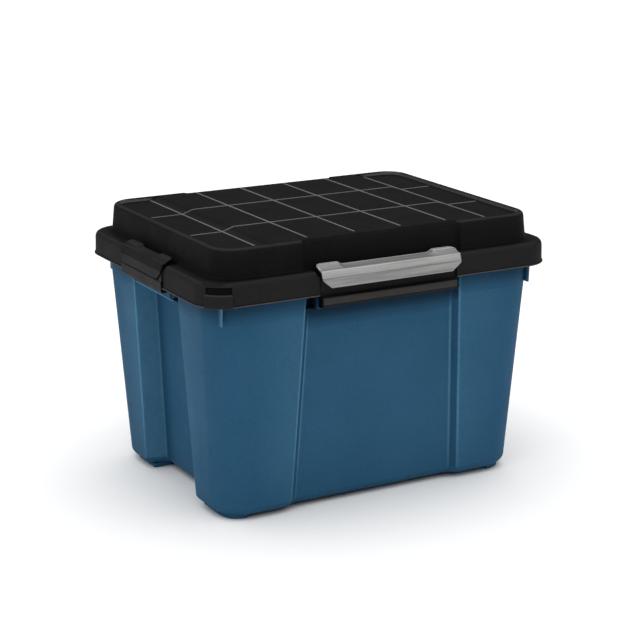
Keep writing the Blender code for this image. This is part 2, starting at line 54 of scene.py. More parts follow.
# ---------------------------------------------------------------- sizes
# the tub: half sizes are (x, y) at the bevel's top; pairs of edges are (at the bevel, at the wall's top)
WALL = 0.0030
TUB_HALF = (0.2260, 0.1630)
TUB_CORNER = 0.0450
BEVEL_Z, WALL_TOP_Z = 0.0160, 0.3030
FLOOR_Z = 0.0082
DRAFT = 0.0600
END_EDGE_Y = (0.0790, 0.0690)
END_DEPTH, END_RUN = 0.0285, 0.0100
SIDE_EDGE_X = (0.1280, 0.1150)
PANEL_DEPTH, PANEL_RUN = 0.0085, 0.0090
# the share of an inset by which each slant's edge moves along its side, and where between the middle
# and the recess's edge an end has a further point, so that the edge's wear stays near it
END_MITRE, PANEL_MITRE = 0.71, 0.40
PART_WAY = 0.55
RIM_HALF = (0.2515, 0.1860)
RIM_CORNER = 0.0410
RIM_TOP_Z, LIP_LOW_Z = 0.3120, 0.2990
LIP_THICK = 0.0030

# the lid: its skirt, the dome that stands on it, the end trays, the grid and the latches' pockets
LID_HALF = (0.2600, 0.1930)
LID_CORNER = 0.0440
FOOT_HALF = (0.2362, 0.1780)
LID_LOW_Z, LID_TOP_Z, LID_SEAT_Z = 0.2940, 0.3634, 0.3170
SHEET = 0.0026
RECESS_HALF, RECESS_DEPTH = 0.1180, 0.0060
TRAY_Z, TRAY_SLOPE = 0.3583, 0.0150
TRAY_X = (0.1710, 0.2235)
TRAY_Y = 0.1645
TRAY_CORNER = 0.0200
RIB_X = (0.0342, 0.1034, 0.1719)
RIB_Y = 0.0601
RIB_HALF, RIB_HIGH = 0.0010, 0.0009
BAY_FLOOR_Z, BAY_GAP = 0.3194, 0.0030

# the hinges and the grips; a grip's hump ends HUMP_END from its end and its end is rounded in plan
AXIS_Z = 0.3265
KNUCKLE_R = 0.0040
EAR_THICK, EAR_INSET = 0.0060, 0.0180
CHEEK, CHEEK_GAP = 0.0075, 0.0005
GRIP_THICK, GRIP_LOW_Z = 0.0018, 0.3052
HUMP_END, HUMP_RUN = 0.0310, 0.0095
GRIP_ROUND, GRIP_DRAWN = 0.0085, 0.0075

# name, direction out, axis distance, half width, face, lowest edge, band top, band set-back
LATCHES = (
    ("front", (0, -1), 0.1790, 0.1030, 0.0220, 0.2790, 0.2925, 0.0042),
    ("rear", (0, 1), 0.1790, 0.1030, 0.0220, 0.2790, 0.2925, 0.0042),
    ("left", (-1, 0), 0.2445, 0.0640, 0.0180, 0.2885, 0.3044, 0.0012),
    ("right", (1, 0), 0.2445, 0.0640, 0.0180, 0.2885, 0.3044, 0.0012),
)

# painted light stored at each point: up to 1 for a painted highlight, as along an edge, down to -1 for
# painted shade where a place is sunk or overhung
LIGHT_MARK = "painted_light_mark"
EDGE_REACH = 0.0030


# ---------------------------------------------------------------- materials
def new_material(name):
    """A material with its nodes, links and shader."""
    mat = bpy.data.materials.new(name)
    mat.use_nodes = True
    return mat, mat.node_tree.nodes, mat.node_tree.links, mat.node_tree.nodes["Principled BSDF"]


def noise(nodes, links, where, scale, detail=3.0, rough=0.55, stretch=None):
    """A noise value, finer along an axis by that axis's stretch."""
    node = nodes.new("ShaderNodeTexNoise")
    node.inputs["Scale"].default_value = scale
    node.inputs["Detail"].default_value = detail
    node.inputs["Roughness"].default_value = rough
    source = where
    if stretch:
        mapping = nodes.new("ShaderNodeMapping")
        mapping.inputs["Scale"].default_value = stretch
        links.new(where, mapping.inputs["Vector"])
        source = mapping.outputs["Vector"]
    links.new(source, node.inputs["Vector"])
    return node.outputs["Fac"]


def spread(nodes, links, value, low, high, to_low, to_high):
    """Spreads low..high over to_low..to_high and holds it there."""
    node = nodes.new("ShaderNodeMapRange")
    for key, number in (("From Min", low), ("From Max", high), ("To Min", to_low), ("To Max", to_high)):
        node.inputs[key].default_value = number
    links.new(value, node.inputs["Value"])
    return node.outputs["Result"]


def tint(nodes, links, factor, low, high):
    """A colour between two set colours."""
    node = nodes.new("ShaderNodeMix")
    node.data_type = 'RGBA'
    node.inputs[6].default_value = (*low, 1.0)
    node.inputs[7].default_value = (*high, 1.0)
    links.new(factor, node.inputs[0])
    return node.outputs[2]


def mixed(nodes, links, factor, under, colour):
    """Goes from the colour underneath to a set colour; the factor is held between 0 and 1."""
    node = nodes.new("ShaderNodeMix")
    node.data_type = 'RGBA'
    links.new(factor, node.inputs[0])
    links.new(under, node.inputs[6])
    node.inputs[7].default_value = (*colour, 1.0)
    return node.outputs[2]


def bump(nodes, links, height, strength, distance, under=None):
    """A relief from a height value, laid over the relief under it."""
    node = nodes.new("ShaderNodeBump")
    node.inputs["Strength"].default_value = strength
    node.inputs["Distance"].default_value = distance
    links.new(height, node.inputs["Height"])
    if under:
        links.new(under, node.inputs["Normal"])
    return node.outputs["Normal"]


def math_node(nodes, links, operation, *values):
    """A sum or product of values, each either a socket or a number."""
    node = nodes.new("ShaderNodeMath")
    node.operation = operation
    for socket, value in zip(node.inputs, values):
        if isinstance(value, float):
            socket.default_value = value
        else:
            links.new(value, socket)
    return node.outputs[0]


def painted_light_colour(nodes, links, where, colour, edge, hollow):
    """Carries the stored painted light into a colour: the edge colour as painted highlight, the hollow colour
    as painted shade.
    """
    mark = nodes.new("ShaderNodeAttribute")
    mark.attribute_name = LIGHT_MARK
    mark = mark.outputs["Fac"]
    patchy = spread(nodes, links, noise(nodes, links, where, 130.0, 3.0), 0.3, 0.7, 0.8, 1.1)
    colour = mixed(nodes, links, math_node(nodes, links, 'MULTIPLY', mark, patchy), colour, edge)
    return mixed(nodes, links, math_node(nodes, links, 'MULTIPLY', mark, -1.0), colour, hollow)


def plastic(name, dark, light, rough, level, grain=900.0, depth=0.00018, edge=None, hollow=None):
    """Moulded plastic: a fine pebbled grain, slow colour drift, uneven gloss, and painted highlights on edges
    and painted shade in hollows from the stored mark.
    """
    mat, nodes, links, shader = new_material(name)
    where = nodes.new("ShaderNodeTexCoord").outputs["Object"]
    drift = noise(nodes, links, where, 9.0, 4.0)
    speck = noise(nodes, links, where, 420.0, 2.0)
    both = math_node(nodes, links, 'MULTIPLY_ADD', speck, 0.95, drift)
    factor = spread(nodes, links, both, 0.70, 1.25, 0.0, 1.0)
    colour = tint(nodes, links, factor, dark, light)
    # painted highlights and painted shade from the stored mark
    if edge:
        colour = painted_light_colour(nodes, links, where, colour, edge, hollow)
    links.new(colour, shader.inputs["Base Color"])
    patch = noise(nodes, links, where, 26.0, 5.0)
    links.new(spread(nodes, links, patch, 0.3, 0.7, rough - 0.05, rough + 0.07), shader.inputs["Roughness"])
    shader.inputs["Specular IOR Level"].default_value = level
    fine = noise(nodes, links, where, grain, 2.0, 0.5)
    cell = nodes.new("ShaderNodeTexVoronoi")
    cell.feature = 'SMOOTH_F1'
    cell.inputs["Scale"].default_value = grain * 0.55
    links.new(where, cell.inputs["Vector"])
    normal = bump(nodes, links, fine, 0.8, depth)
    normal = bump(nodes, links, speck, 0.5, depth * 1.6, normal)
    links.new(bump(nodes, links, cell.outputs["Distance"], 0.6, depth * 1.5, normal), shader.inputs["Normal"])
    return mat


def brushed(name, dark, light, rough, metallic, level, edge=None, hollow=None):
    """Metallic paint or drawn steel, with a faint flow along its length and small rubs."""
    mat, nodes, links, shader = new_material(name)
    where = nodes.new("ShaderNodeTexCoord").outputs["Object"]
    flow = noise(nodes, links, where, 60.0, 4.0, 0.6, (0.15, 4.5, 4.5))
    rub = noise(nodes, links, where, 180.0, 5.0, 0.65)
    factor = spread(nodes, links, flow, 0.32, 0.68, 0.0, 1.0)
    colour = tint(nodes, links, factor, dark, light)
    # painted highlights and painted shade from the stored mark
    if edge:
        colour = painted_light_colour(nodes, links, where, colour, edge, hollow)
    links.new(colour, shader.inputs["Base Color"])
    links.new(spread(nodes, links, rub, 0.3, 0.7, rough - 0.05, rough + 0.08), shader.inputs["Roughness"])
    shader.inputs["Metallic"].default_value = metallic
    shader.inputs["Specular IOR Level"].default_value = level
    flake = noise(nodes, links, where, 2600.0, 2.0, 0.5)
    links.new(bump(nodes, links, flake, 0.25, 0.00006), shader.inputs["Normal"])
    return mat


# each edge colour is a painted highlight and each hollow colour a painted shade, laid on by the stored mark
BLUE = plastic("tub_moulding", (0.0180, 0.0800, 0.1520), (0.0265, 0.0980, 0.1820), 0.58, 0.05,
               edge=(0.110, 0.285, 0.430), hollow=(0.0016, 0.0070, 0.0150))
BLACK = plastic("lid_moulding", (0.0070, 0.0070, 0.0071), (0.0108, 0.0108, 0.0109), 0.60, 0.03,
                1100.0, 0.00014, edge=(0.090, 0.090, 0.090), hollow=(0.0012, 0.0012, 0.0012))
# the grid ribs' grey is a painted highlight: lighter than the lid's black for the light their edges catch
RIB = plastic("lid_rib_edge", (0.098, 0.098, 0.098), (0.130, 0.130, 0.129), 0.50, 0.20, 1100.0, 0.00008)
ARM = plastic("latch_moulding", (0.0085, 0.0082, 0.0080), (0.0130, 0.0124, 0.0120), 0.50, 0.08,
              1300.0, 0.00008, edge=(0.060, 0.058, 0.056), hollow=(0.0010, 0.0010, 0.0010))
BAND = plastic("latch_band", (0.022, 0.0195, 0.018), (0.031, 0.0275, 0.0258), 0.42, 0.20, 1300.0, 0.00006)
SILVER = brushed("grip_paint", (0.225, 0.225, 0.222), (0.400, 0.400, 0.395), 0.40, 0.35, 0.45,
                 edge=(0.78, 0.78, 0.77), hollow=(0.060, 0.060, 0.060))
STEEL = brushed("pin_steel_drawn", (0.48, 0.48, 0.49), (0.60, 0.60, 0.61), 0.28, 1.0, 0.5)
RUBBER = plastic("seal_rubber_soft", (0.020, 0.020, 0.020), (0.034, 0.034, 0.033), 0.80, 0.15,
                 1500.0, 0.00008)


# ---------------------------------------------------------------- mesh helpers
def make_object(name, verts, faces, mat):
    """A mesh object with its faces turned outward."""
    mesh = bpy.data.meshes.new(name)
    mesh.from_pydata([tuple(v) for v in verts], [], faces)
    work = bmesh.new()
    work.from_mesh(mesh)
    bmesh.ops.recalc_face_normals(work, faces=work.faces)
    work.to_mesh(mesh)
    work.free()
    if mat:
        mesh.materials.append(mat)
    obj = bpy.data.objects.new(name, mesh)
    bpy.context.scene.collection.objects.link(obj)
    return obj


def solids(name, stacks, mat=None):
    """Closed solids, each through a stack of equal rings with capped ends."""
    verts, faces = [], []
    for rings in stacks:
        base, count = len(verts), len(rings[0])
        verts += [p for ring in rings for p in ring]
        faces.append(tuple(range(base, base + count)))
        faces.append(tuple(range(len(verts) - count, len(verts))))
        for level in range(len(rings) - 1):
            low = base + level * count
            for k in range(count):
                after = (k + 1) % count
                faces.append((low + k, low + after, low + count + after, low + count + k))
    return make_object(name, verts, faces, mat)


def closed_loft(name, rings, mat, capped=None):
    """A ring-shaped solid: the last ring joins back to the first. Ring capped and the ring after
    it are each filled in flat instead of joined, which makes an upturned bowl with a thickness."""
    count = len(rings[0])
    verts = [p for ring in rings for p in ring]
    faces = []
    for level in range(len(rings)):
        if level == capped:
            continue
        low, high = level * count, (level + 1) % len(rings) * count
        for k in range(count):
            after = (k + 1) % count
            faces.append((low + k, low + after, high + after, high + k))
    if capped is not None:
        for level in (capped, capped + 1):
            faces.append(tuple(range(level * count, (level + 1) * count)))
    return make_object(name, verts, faces, mat)


def cut(obj, *guides):
    """Takes the guides out of obj for good."""
    for guide in guides:
        mod = obj.modifiers.new(guide.name, 'BOOLEAN')
        mod.operation = 'DIFFERENCE'
        mod.solver = 'EXACT'
        mod.object = guide
    bpy.context.view_layer.update()
    graph = bpy.context.evaluated_depsgraph_get()
    mesh = bpy.data.meshes.new_from_object(obj.evaluated_get(graph))
    mesh.name = obj.name
    obj.modifiers.clear()
    obj.data = mesh
    for guide in guides:
        bpy.data.objects.remove(guide, do_unlink=True)


def near(value, middle, reach):
    """1 at the middle, falling evenly to 0 at reach away from it."""
    return max(0.0, 1.0 - abs(value - middle) / reach)


def mark_painted_light(obj, weigh):
    """Stores painted light at each point: a painted highlight above 0, painted shade below 0."""
    mesh = obj.data
    layer = mesh.attributes.new(LIGHT_MARK, 'FLOAT', 'POINT')
    for vert, item in zip(mesh.vertices, layer.data):
        item.value = weigh(vert.co)


def finish_piece(obj, body, slot, angle=38, nodes=()):
    """Shading, then the body it rides and the nodes it stands in for. The slot is not used."""
    obj.data.shade_smooth()
    obj.data.set_sharp_from_angle(angle=radians(angle))
    mod = obj.modifiers.new("even_faces", 'WEIGHTED_NORMAL')
    mod.mode = 'FACE_AREA'
    mod.weight = 80
    mod.keep_sharp = True
    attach(obj, body)
    if nodes:
        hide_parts(*nodes)


def blend(pair, t):
    """Goes evenly from the first of the pair to the second."""
    return pair[0] + (pair[1] - pair[0]) * t


def smooth_step(t):
    """0 below 0, 1 above 1 and an S between them."""
    t = max(0.0, min(1.0, t))
    return t * t * (3 - 2 * t)


def quarter_turn(steps):
    """Angles from 0 to a right angle."""
    return [k / steps * pi / 2 for k in range(steps + 1)]


def turn(before, corner, after, reach, steps=5):
    """Points round a corner, from reach before it to reach after it."""
    p, c, q = Vector(before), Vector(corner), Vector(after)
    a = c + (p - c).normalized() * reach
    b = c + (q - c).normalized() * reach
    points = []
    for k in range(steps + 1):
        s = k / steps
        points.append(tuple(a * (1 - s) ** 2 + c * (2 * s * (1 - s)) + b * s * s))
    return points


def rounded(points, reach, steps=4):
    """A closed outline with every corner rounded; reach may differ from corner to corner."""
    count = len(points)
    result = []
    for k, point in enumerate(points):
        before, after = points[k - 1], points[(k + 1) % count]
        room = min((Vector(before) - Vector(point)).length, (Vector(after) - Vector(point)).length)
        want = reach[k] if isinstance(reach, (list, tuple)) else reach
        result += turn(before, point, after, min(want, room * 0.48), steps)
    return result


def shrunk(outline, inset):
    """A closed outline moved inward by inset, along each point's own normal."""
    count = len(outline)
    area = sum(outline[k - 1][0] * outline[k][1] - outline[k][0] * outline[k - 1][1] for k in range(count))
    side = 1 if area > 0 else -1
    moved = []
    for k, point in enumerate(outline):
        along = Vector(outline[(k + 1) % count]) - Vector(outline[k - 1])
        along.normalize()
        moved.append((point[0] - along.y * inset * side, point[1] + along.x * inset * side))
    return moved


def arc(cx, cy, radius, steps=18):
    """A quarter circle about (cx, cy), from +X to +Y."""
    return [(cx + radius * cos(a), cy + radius * sin(a)) for a in quarter_turn(steps)]


def mirrored(quarter, z):
    """The whole ring from its +X +Y quarter."""
    back = quarter[::-1]
    plan = quarter + [(-x, y) for x, y in back]
    plan += [(-x, -y) for x, y in quarter] + [(x, -y) for x, y in back]
    return [(x, y, z) for x, y in plan]


def on_side(out, u, v, z):
    """A point u along a side and v out from the centre, for the side that faces out."""
    return (-out[1] * u + out[0] * v, out[0] * u + out[1] * v, z)


def off_middle(out, point):
    """How far a point lies from the middle of a side, along it."""
    return abs(point.x * out[1] - point.y * out[0])


def bar(out, outline, u, soft, steps=3, middles=()):
    """Rings of a bar along a side, from its (v, z) outline, with softened ends and rings at middles."""
    first = [(u[0] + soft * (1 - cos(a)), soft * (1 - sin(a))) for a in quarter_turn(steps)]
    rings = first + [(along, 0.0) for along in middles]
    rings += [(u[1] - (along - u[0]), inset) for along, inset in first[::-1]]
    return [[on_side(out, along, v, z) for v, z in shrunk(outline, inset)] for along, inset in rings]


# ---------------------------------------------------------------- tub
def tub_ring(z, inset=0.0, at=None):
    """The wall's plan at a height: stepped ends, round corners, sunk side panels. Where at is given,
    the plan is the one at that height."""
    at = z if at is None else at
    rise = at - BEVEL_Z
    t = rise / (WALL_TOP_Z - BEVEL_Z)
    a = TUB_HALF[0] + DRAFT * rise - inset
    b = TUB_HALF[1] + DRAFT * rise - inset
    edge_y = blend(END_EDGE_Y, t) + inset * END_MITRE
    panel_x = blend(SIDE_EDGE_X, t) + inset * PANEL_MITRE
    radius = TUB_CORNER - inset
    recess, column = (a - END_DEPTH, edge_y - END_RUN), (a, edge_y)
    brink, panel = (panel_x, b), (panel_x - PANEL_RUN, b - PANEL_DEPTH)
    quarter = [(recess[0], recess[1] * PART_WAY)]
    quarter += turn((recess[0], 0), recess, column, 0.0034)
    quarter += turn(recess, column, (a, b - radius), 0.0026)
    quarter += arc(a - radius, b - radius, radius)
    quarter += turn((a - radius, b), brink, panel, 0.0024)
    quarter += turn(brink, panel, (0, panel[1]), 0.0028)
    return mirrored(quarter, z)


def rim_ring(z, inset=0.0):
    """The rim's plan, with as many points as the wall's and level with them."""
    a, b, radius = RIM_HALF[0] - inset, RIM_HALF[1] - inset, RIM_CORNER - inset
    edge_y, panel_x = END_EDGE_Y[1], SIDE_EDGE_X[1]
    steps = [k * 0.0008 - 0.002 for k in range(6)]
    quarter = [(a, (edge_y - END_RUN) * PART_WAY)]
    quarter += [(a, edge_y - END_RUN + d) for d in steps]
    quarter += [(a, edge_y + d) for d in steps]
    quarter += arc(a - radius, b - radius, radius)
    quarter += [(panel_x - d, b) for d in steps]
    quarter += [(panel_x - PANEL_RUN - d, b) for d in steps]
    return mirrored(quarter, z)


def faces_out(x, y, a, b, edge_y, panel_x):
    """Whether a wall point of the tub's +X +Y quarter lies on the outer skin."""
    skin = WALL / 2
    if y < edge_y:
        return x > a - END_DEPTH - skin
    if x < panel_x:
        return y > b - PANEL_DEPTH - skin
    cx, cy = a - TUB_CORNER, b - TUB_CORNER
    if x > cx and y > cy:
        return (x - cx) ** 2 + (y - cy) ** 2 > (TUB_CORNER - skin) ** 2
    return x > a - skin or y > b - skin


def tub_painted_light(point):
    """Painted highlights along the vertical edges and on the end step walls; painted shade in the end
    recesses' corners, on the side panels' walls and up under the rim.
    """
    fades_up_to, shade_from, panel_shade_from = 0.080, 0.262, 0.246
    x, y, z = abs(point.x), abs(point.y), point.z
    rise = z - BEVEL_Z
    t = rise / (WALL_TOP_Z - BEVEL_Z)
    a, b = TUB_HALF[0] + DRAFT * rise, TUB_HALF[1] + DRAFT * rise
    edge_y, panel_x = blend(END_EDGE_Y, t), blend(SIDE_EDGE_X, t)
    if not 0.0 < t <= 1.0 or not faces_out(x, y, a, b, edge_y, panel_x):
        return 0.0
    highlight = 0.0
    for cx, cy, amount in ((a, edge_y, 1.0), (a - END_DEPTH, edge_y - END_RUN, 0.40),
                           (panel_x, b, 0.70), (panel_x - PANEL_RUN, b - PANEL_DEPTH, 0.60)):
        away = ((x - cx) ** 2 + (y - cy) ** 2) ** 0.5
        highlight = max(highlight, amount * near(away, 0.0, EDGE_REACH))
    highlight *= 0.45 + 0.55 * smooth_step((z - 0.010) / fades_up_to)
    shade = 0.66 * smooth_step((z - shade_from) / 0.033)
    if x < panel_x - 0.0012:
        shade = 0.84 * smooth_step((z - panel_shade_from) / 0.026)
        highlight *= 1.0 - shade
        panel_wall = b - PANEL_DEPTH + 0.0012 < y < b - 0.0012
        if panel_wall:
            shade = max(shade, 0.26)
    step_wall = y < edge_y - 0.0004 and a - END_DEPTH + 0.0008 < x < a - 0.0008
    recess_corner = x < a - END_DEPTH + 0.0015 and edge_y - END_RUN - 0.004 < y < edge_y
    if step_wall:
        highlight = max(highlight, 0.32)
        shade = max(shade, 0.90 * smooth_step((z - 0.268) / 0.012))
    elif recess_corner:
        shade = max(shade, 0.36)
    return highlight - shade * (1.0 - 0.6 * highlight)


def make_tub():
    """One closed stack: up the outside from the bevelled base, over the rim and down the inside."""
    rings = [tub_ring(z, inset, BEVEL_Z) for z, inset in (
        (0.0050, 0.0125), (0.0050, 0.0116), (0.0052, 0.0106), (0.0058, 0.0094), (0.0068, 0.0078),
        (0.0088, 0.0053), (0.0108, 0.0031), (0.0126, 0.0016), (0.0143, 0.0006), (0.0158, 0.0001))]
    rings += [tub_ring(z) for z in (
        0.0180, 0.090, 0.160, 0.230, 0.246, 0.256, 0.264, 0.272, 0.283, 0.2950, WALL_TOP_Z)]
    rings += [
        tub_ring(0.3044, -0.0006, WALL_TOP_Z),
        tub_ring(0.3054, -0.0018, WALL_TOP_Z),
        rim_ring(0.3062, LIP_THICK + 0.0012),
        rim_ring(0.3059, LIP_THICK + 0.0004),
        rim_ring(0.3050, LIP_THICK),
        rim_ring(LIP_LOW_Z + 0.0006, LIP_THICK),
        rim_ring(LIP_LOW_Z, LIP_THICK - 0.0006),
        rim_ring(LIP_LOW_Z, 0.0006),
        rim_ring(LIP_LOW_Z + 0.0006),
        rim_ring(0.3100),
        rim_ring(0.3110, 0.0004),
        rim_ring(0.3117, 0.0011),
        rim_ring(RIM_TOP_Z, 0.0022),
        tub_ring(RIM_TOP_Z, WALL - 0.0018, WALL_TOP_Z),
        tub_ring(0.3116, WALL - 0.0006, WALL_TOP_Z),
        tub_ring(0.3104, WALL, WALL_TOP_Z),
        tub_ring(0.230, WALL),
        tub_ring(0.120, WALL),
        tub_ring(0.0180, WALL),
        tub_ring(0.0128, WALL + 0.0014, BEVEL_Z),
        tub_ring(0.0100, WALL + 0.0036, BEVEL_Z),
        tub_ring(0.0086, WALL + 0.0064, BEVEL_Z),
        tub_ring(FLOOR_Z, WALL + 0.0095, BEVEL_Z),
    ]
    tub = solids("tub_shell", [rings], BLUE)
    mark_painted_light(tub, tub_painted_light)
    finish_piece(tub, "tub", "tub_blue", 40, ("tub_body",))


def make_feet():
    """A low foot under each corner, rounded most at the tub's corner."""
    (x0, x1), (y0, y1) = (0.1845, 0.2140), (0.0780, 0.1510)
    plan = [(x0, y0), (x1, y0), (x1, y1 - 0.021), (x1 - 0.0065, y1 - 0.0065), (x1 - 0.021, y1), (x0, y1)]
    plan = rounded(plan, (0.003, 0.003, 0.007, 0.007, 0.007, 0.003))
    stacks = []
    for sx, sy in ((-1, -1), (-1, 1), (1, -1), (1, 1)):
        rings = []
        for z, inset in ((0.0, 0.0020), (0.0002, 0.0011), (0.0007, 0.0004), (0.0016, 0.0), (0.0066, 0.0)):
            rings.append([(sx * x, sy * y, z) for x, y in shrunk(plan, inset)])
        stacks.append(rings)
    finish_piece(solids("tub_feet", stacks, BLUE), "tub", "tub_blue")


def strip_painted_light(point):
    """Painted highlights on the end strips' lips and the gussets' outer edges; painted shade on the
    near-black pockets, the gussets' sides and the strips' faces.
    """
    x, y, z = abs(point.x), abs(point.y), point.z
    gusset, long_side = x > 0.2270 and y > 0.1500, x < 0.1180
    if gusset:
        return 0.60 if y > 0.1715 else -0.35
    if long_side:
        return -0.97 if x > 0.1030 else -0.30
    in_pocket, lip = x < 0.2412 or y > 0.0562, z < 0.2770
    if in_pocket:
        return -0.85
    if lip:
        return 0.85
    return -0.85 if y > 0.0520 else -0.25


def make_strips():
    """The strips under the latches, their end ribs and pocket floors, and the corner gussets."""
    long_plan = ((0.1050, 0.1850), (0.1172, 0.1774), (0.1172, 0.1763), (0.1050, 0.1684))
    short_plan = ((0.0550, 0.2440), (0.0716, 0.2412), (0.0716, 0.2384), (0.0610, 0.2122), (0.0550, 0.2118))
    long_side = (0.1060, 0.2760, LIP_LOW_Z + 0.003, 0.1860, 0.1700, long_plan)
    short_side = (0.0560, 0.2755, 0.3084, 0.2445, 0.2126, short_plan)
    sides = (((0, -1), long_side), ((0, 1), long_side), ((-1, 0), short_side), ((1, 0), short_side))
    rib_top, rib_thick, gusset_x = 0.3080, 0.0020, (0.2294, 0.2311)
    stacks = []
    for out, (reach, low, high, rim, wall, _) in sides:
        outer, inner = rim - 0.0002, rim - 0.0028
        outline = rounded([(inner, low), (outer, low), (outer, low + 0.0022), (outer, high), (inner, high)],
                          0.0009, 3)
        stacks.append(bar(out, outline, (-reach, reach), 0.0006, 3, (0.0055 - reach, reach - 0.0055)))
        for sign in (-1, 1):
            ends = sorted((sign * (reach - 0.0002), sign * (reach - 0.0002 - rib_thick)))
            rib = [(wall - 0.0016, low + 0.0006), (rim - 0.0010, low + 0.0006),
                   (rim - 0.0010, rib_top), (wall, rib_top)]
            stacks.append(bar(out, rounded(rib, 0.0010, 3), ends, 0.0005))
    gusset = rounded([(0.1612, 0.2670), (0.1734, 0.2670), (0.1752, rib_top), (0.1652, rib_top)],
                     (0.0008, 0.0016, 0.0008, 0.0008), 3)
    for sx in (-1, 1):
        for sy in (-1, 1):
            ends = sorted(-sx * sy * x for x in gusset_x)
            stacks.append(bar((0, sy), gusset, ends, 0.0005))
    for out, (_, low, _, _, _, plan) in sides:
        web = rounded(plan, 0.0005, 3)
        for sign in (-1, 1):
            stacks.append([[on_side(out, sign * u, v, z) for u, v in shrunk(web, inset)]
                           for z, inset in ((low + 0.0002, 0.0004), (low + 0.0006, 0.0),
                                            (low + 0.0014, 0.0), (low + 0.0018, 0.0004))])
    strips = solids("tub_strips_and_ribs", stacks, BLUE)
    mark_painted_light(strips, strip_painted_light)
    finish_piece(strips, "tub", "tub_blue")


# ---------------------------------------------------------------- lid
def lid_ring(z, half_x, half_y, radius, recess=0.0):
    """A plan of the lid; recess sets the middle of both long sides back."""
    corner_end = (half_x - radius, half_y)
    edge, foot = (RECESS_HALF, half_y), (RECESS_HALF - 0.0035, half_y - recess)
    quarter = arc(half_x - radius, half_y - radius, radius, 22)
    quarter += turn(corner_end, edge, foot if recess else (0, half_y), 0.0018, 4)
    quarter += turn(edge if recess else corner_end, foot, (0, foot[1]), 0.0018, 4)
    return mirrored(quarter, z)


def skirt_ring(z, inset):
    """A plan of the skirt, moved inward by inset."""
    return lid_ring(z, LID_HALF[0] - inset, LID_HALF[1] - inset, LID_CORNER - inset)


def dome_ring(z, inset, radius, recess=RECESS_DEPTH):
    """A plan of the dome, moved inward from its foot by inset."""
    return lid_ring(z, FOOT_HALF[0] - inset, FOOT_HALF[1] - inset * 1.03, radius, recess)


def plate_ring(half_x, half_y, radius, z, steps=5):
    """A plain rectangle with round corners."""
    return mirrored(arc(half_x - radius, half_y - radius, radius, steps), z)


def tray_cutters():
    """What is taken out of the top for the end trays; each wall toward the middle is a slope."""
    stacks = []
    levels = ((TRAY_Z, -0.0008), (TRAY_Z + 0.0003, -0.0002), (TRAY_Z + 0.0010, 0.0002), (0.3618, 0.0010),
              (0.3628, 0.0014), (0.3633, 0.0020), (LID_TOP_Z + 0.00005, 0.0028), (LID_TOP_Z + 0.002, 0.0030))
    for sx in (-1, 1):
        rings = []
        for z, grow in levels:
            slope = TRAY_SLOPE * (z - TRAY_Z) / (LID_TOP_Z - TRAY_Z)
            radius = TRAY_CORNER + grow
            far, wide = TRAY_X[1] + grow, TRAY_Y + grow
            corner = arc(far - radius, wide - radius, radius, 10)
            inner = TRAY_X[0] - slope
            bend = TRAY_X[0] + 0.0040
            plan = [(inner, -wide), (bend, -wide)] + [(x, -y) for x, y in corner[::-1]]
            plan += corner + [(bend, wide), (inner, wide)]
            rings.append([(sx * x, y, z) for x, y in plan])
        stacks.append(rings)
    return solids("tray_guide", stacks)


def bay_cutters():
    """The latches' pockets in the shelf, and the openings below them in the skirt."""
    bays, gaps = [], []
    for _, out, axis, half, *_ in LATCHES:
        back = 0.1716 if out[0] == 0 else 0.2360
        clear = axis + 0.05
        for into, wide, v0, z0, z1 in ((bays, half + BAY_GAP, back, BAY_FLOOR_Z, 0.3350),
                                       (gaps, half - 0.0004, axis + 0.0066, 0.2800, 0.3300)):
            outline = [(v0, z0), (clear, z0), (clear, z1), (v0, z1)]
            into.append([[on_side(out, u, v, z) for v, z in outline] for u in (-wide, wide)])
    return solids("bay_guide", bays), solids("gap_guide", gaps)


def corner_block(cx, cy, outline, sign, soft=0.0007):
    """A block that follows the lid's corner arc, from its (radius, z) outline."""
    start, end, steps = radians(33.0), radians(79.0), 12
    rings = [(start + soft * (1 - cos(a)) / LID_CORNER, soft * (1 - sin(a))) for a in quarter_turn(3)]
    for k in range(1, steps):
        rings.append((blend((start + soft / LID_CORNER, end - soft / LID_CORNER), k / steps), 0.0))
    rings += [(start + end - turned, inset) for turned, inset in rings[3::-1]]
    return [[(sign * (cx + r * cos(turned)), sign * (cy + r * sin(turned)), z)
             for r, z in shrunk(outline, inset)] for turned, inset in rings]


def past_arc(x, y, cx, cy, radius):
    """Whether a point of the +X +Y quarter lies outside the arc about (cx, cy)."""
    return x > cx and y > cy and (x - cx) ** 2 + (y - cy) ** 2 > radius ** 2


